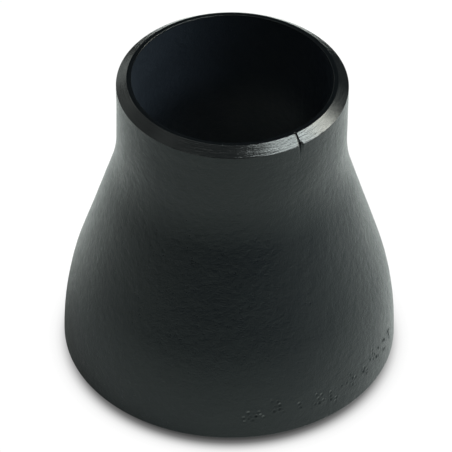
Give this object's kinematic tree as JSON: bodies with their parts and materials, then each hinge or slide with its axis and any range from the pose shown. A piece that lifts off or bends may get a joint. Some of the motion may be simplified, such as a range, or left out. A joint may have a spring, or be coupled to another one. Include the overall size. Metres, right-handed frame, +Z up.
{
  "type": "concentric pipe reducer",
  "caption": "Bell-shaped butt-weld fitting that joins a larger pipe to a smaller one on the same centre line, with bevelled ends for welding and a black protective coat.",
  "frame": {"origin": "centre of the large end face, where the centre line meets the plane that the part stands on", "axes": "+Z up along the centre line from the large end to the small end; the longitudinal weld is 36 degrees from -Y towards +X"},
  "size_m": [0.0888, 0.0888, 0.089],
  "materials": {
    "black_varnished_steel": "satin black varnish over formed carbon steel, fine grain",
    "varnished_weld_metal": "satin black varnish over scarfed weld metal"
  },
  "bodies": {
    "root": {"reducer_shell": "black_varnished_steel", "longitudinal_seam_weld": "varnished_weld_metal"}
  },
  "joints": []
}
